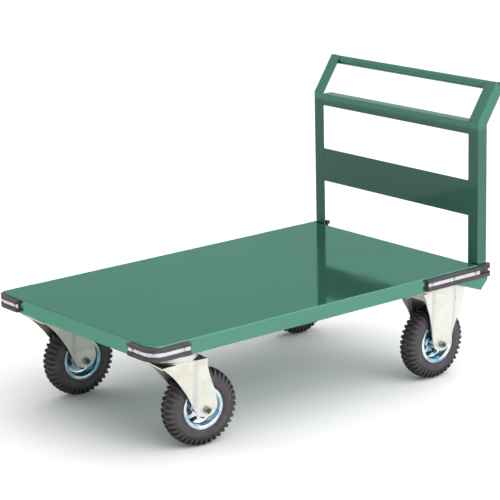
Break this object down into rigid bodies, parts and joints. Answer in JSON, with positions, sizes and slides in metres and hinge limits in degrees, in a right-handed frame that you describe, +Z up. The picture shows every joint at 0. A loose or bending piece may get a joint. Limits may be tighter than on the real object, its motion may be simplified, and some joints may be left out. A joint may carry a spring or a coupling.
{
  "type": "platform trolley",
  "caption": "flat-deck platform trolley with an angle-steel push handle, rubber corner bumpers and pneumatic casters, swivelling at the nose and rigid under the handle",
  "frame": {"origin": "on the floor, at the centre of the overall length and width", "axes": "+Z up, +X towards the push handle, so the trolley is pushed along -X; left is -Y"},
  "size_m": [1.3215, 0.774, 0.8779],
  "materials": {
    "green_paint": "semi-gloss sea-green enamel",
    "bumper_rubber": "satin moulded rubber",
    "bright_strip": "bright flat strip",
    "bright_screws": "zinc-plated pan heads",
    "plated_steel": "pale zinc plating with a creamy tint",
    "rim_zinc": "bright blue zinc plating",
    "nut_zinc": "grey-green zinc-plated nuts",
    "axle_steel": "dark oiled steel",
    "bearing_steel": "ground steel",
    "tyre_rubber": "matt black-grey tyre with block lugs",
    "tube_rubber": "plain black rubber"
  },
  "bodies": {
    "chassis": {"bumper_front_left": "bumper_rubber", "bumper_front_right": "bumper_rubber", "bumper_rear_left": "bumper_rubber", "bumper_rear_right": "bumper_rubber", "bumper_screws": "bright_screws", "bumper_strips_front": "bright_strip", "bumper_strips_rear": "bright_strip", "caster_mounting_bolts": "plated_steel", "deck_cross_channels": "green_paint", "deck_tray": "green_paint", "front_kingpins": "plated_steel", "front_top_plate_left": "plated_steel", "front_top_plate_right": "plated_steel", "handle_arm_left": "green_paint", "handle_arm_right": "green_paint", "handle_cross_bar": "green_paint", "handle_grip_bar": "green_paint", "handle_panel": "green_paint", "handle_post_left": "green_paint", "handle_post_right": "green_paint", "post_gusset_left": "green_paint", "post_gusset_right": "green_paint", "rear_axle_bolts": "axle_steel", "rear_axle_nuts": "nut_zinc", "rear_axle_spacers": "axle_steel", "rear_fork_left": "plated_steel", "rear_fork_right": "plated_steel", "rear_top_plate_left": "plated_steel", "rear_top_plate_right": "plated_steel", "swivel_bearing_balls": "bearing_steel"},
    "swivel_left": {"front_fork_left": "plated_steel", "front_axle_bolt_left": "axle_steel", "front_axle_nut_left": "nut_zinc", "front_axle_spacers_left": "axle_steel"},
    "swivel_right": {"front_fork_right": "plated_steel", "front_axle_bolt_right": "axle_steel", "front_axle_nut_right": "nut_zinc", "front_axle_spacers_right": "axle_steel"},
    "wheel_front_left": {"tyre_front_left": "tyre_rubber", "inner_tube_front_left": "tube_rubber", "rim_halves_front_left": "rim_zinc", "rim_bolts_front_left": "axle_steel", "wheel_bearings_front_left": "bearing_steel"},
    "wheel_front_right": {"tyre_front_right": "tyre_rubber", "inner_tube_front_right": "tube_rubber", "rim_halves_front_right": "rim_zinc", "rim_bolts_front_right": "axle_steel", "wheel_bearings_front_right": "bearing_steel"},
    "wheel_rear_left": {"tyre_rear_left": "tyre_rubber", "inner_tube_rear_left": "tube_rubber", "rim_halves_rear_left": "rim_zinc", "rim_bolts_rear_left": "axle_steel", "wheel_bearings_rear_left": "bearing_steel"},
    "wheel_rear_right": {"tyre_rear_right": "tyre_rubber", "inner_tube_rear_right": "tube_rubber", "rim_halves_rear_right": "rim_zinc", "rim_bolts_rear_right": "axle_steel", "wheel_bearings_rear_right": "bearing_steel"}
  },
  "joints": [
    {"name": "swivel_left_turn", "type": "hinge", "parent": "chassis", "child": "swivel_left", "pos_m": [-0.52375, -0.29, 0.2615], "axis": [0, 0, 1], "continuous": true},
    {"name": "swivel_right_turn", "type": "hinge", "parent": "chassis", "child": "swivel_right", "pos_m": [-0.52375, 0.29, 0.2615], "axis": [0, 0, 1], "continuous": true},
    {"name": "wheel_front_left_spin", "type": "hinge", "parent": "swivel_left", "child": "wheel_front_left", "pos_m": [-0.44832, -0.29926, 0.112], "axis": [0.1219, 0.9925, 0], "continuous": true},
    {"name": "wheel_front_right_spin", "type": "hinge", "parent": "swivel_right", "child": "wheel_front_right", "pos_m": [-0.44786, 0.28602, 0.112], "axis": [0.0523, 0.9986, 0], "continuous": true},
    {"name": "wheel_rear_left_spin", "type": "hinge", "parent": "chassis", "child": "wheel_rear_left", "pos_m": [0.42325, -0.31, 0.112], "axis": [0, 1, 0], "continuous": true},
    {"name": "wheel_rear_right_spin", "type": "hinge", "parent": "chassis", "child": "wheel_rear_right", "pos_m": [0.42325, 0.31, 0.112], "axis": [0, 1, 0], "continuous": true}
  ]
}
